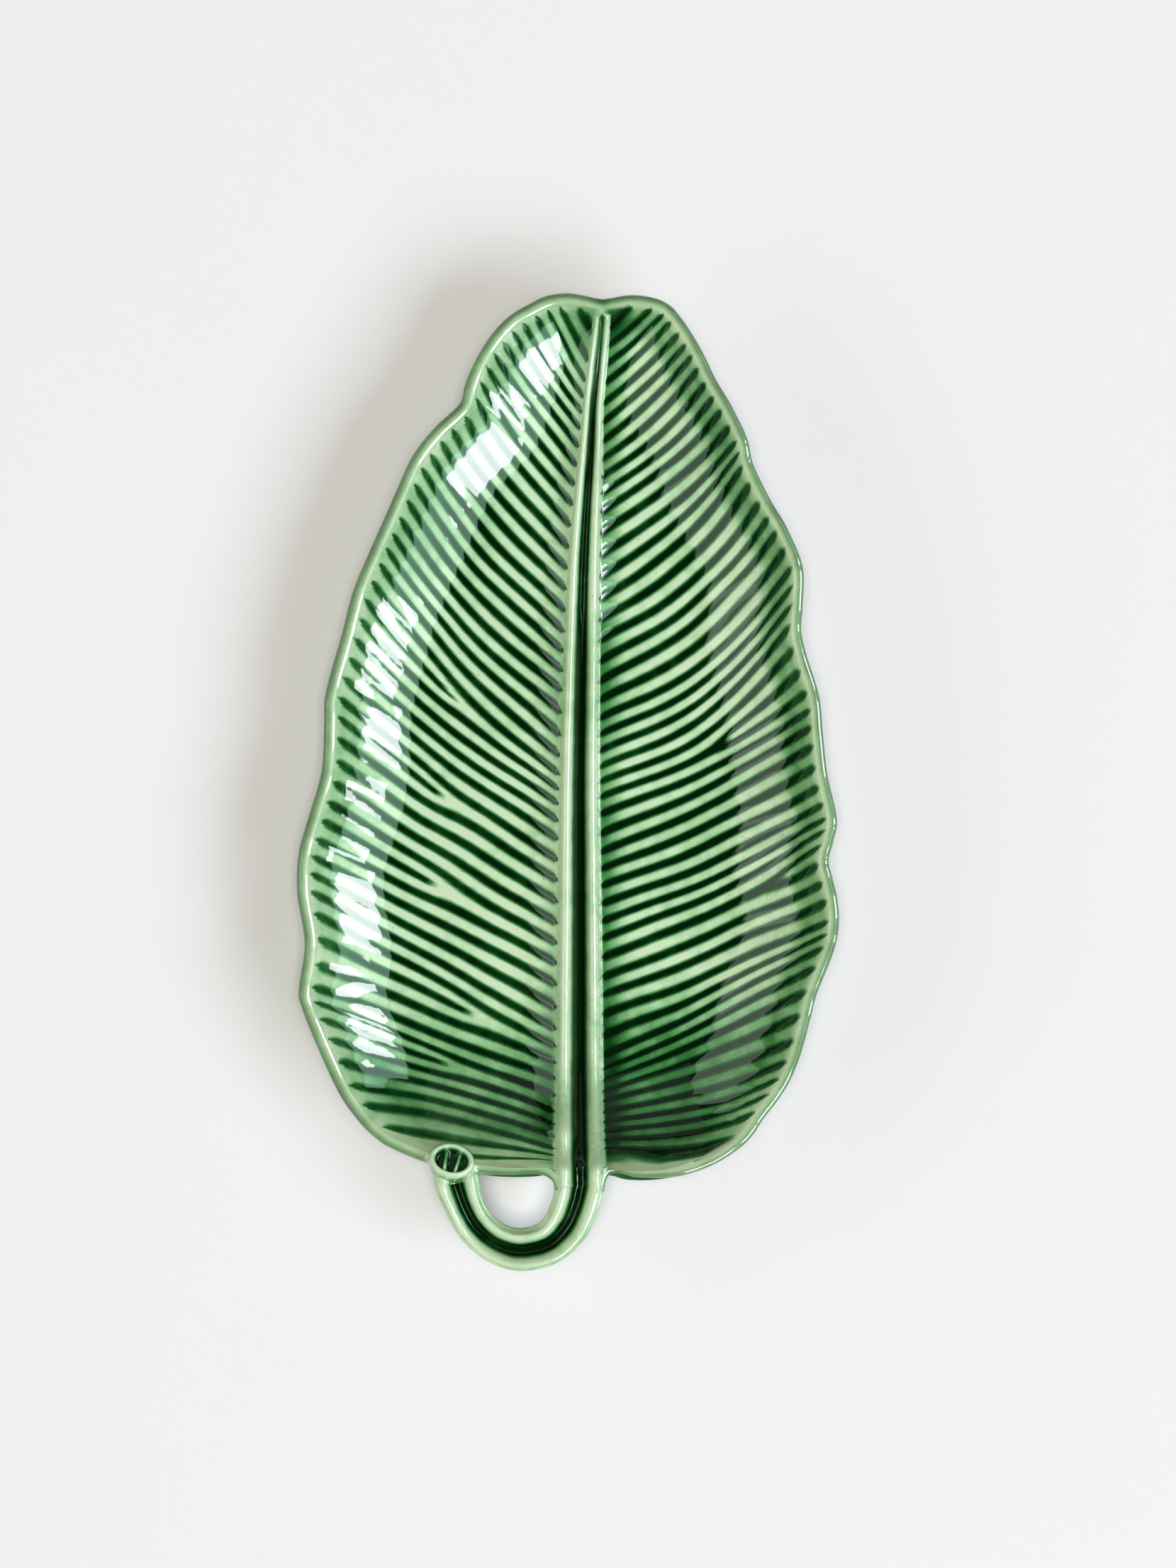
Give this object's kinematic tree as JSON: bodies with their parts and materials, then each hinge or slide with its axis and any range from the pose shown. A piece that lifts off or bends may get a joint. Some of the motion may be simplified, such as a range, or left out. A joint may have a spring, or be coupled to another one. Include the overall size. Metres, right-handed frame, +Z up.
{
  "type": "leaf-shaped serving dish",
  "caption": "Shallow glazed serving dish in the form of a banana leaf, with a ribbed hollow, a channelled midrib, a looped stalk handle and an oval foot ring.",
  "frame": {"origin": "on the surface that the dish stands on, under the centre of its outline", "axes": "+Y along the leaf towards its tip, +X to the right seen from above, +Z up out of the hollow"},
  "size_m": [0.1552, 0.28, 0.0329],
  "materials": {
    "green_glaze": "glossy"
  },
  "bodies": {
    "root": {"leaf_dish": "green_glaze"}
  },
  "joints": []
}
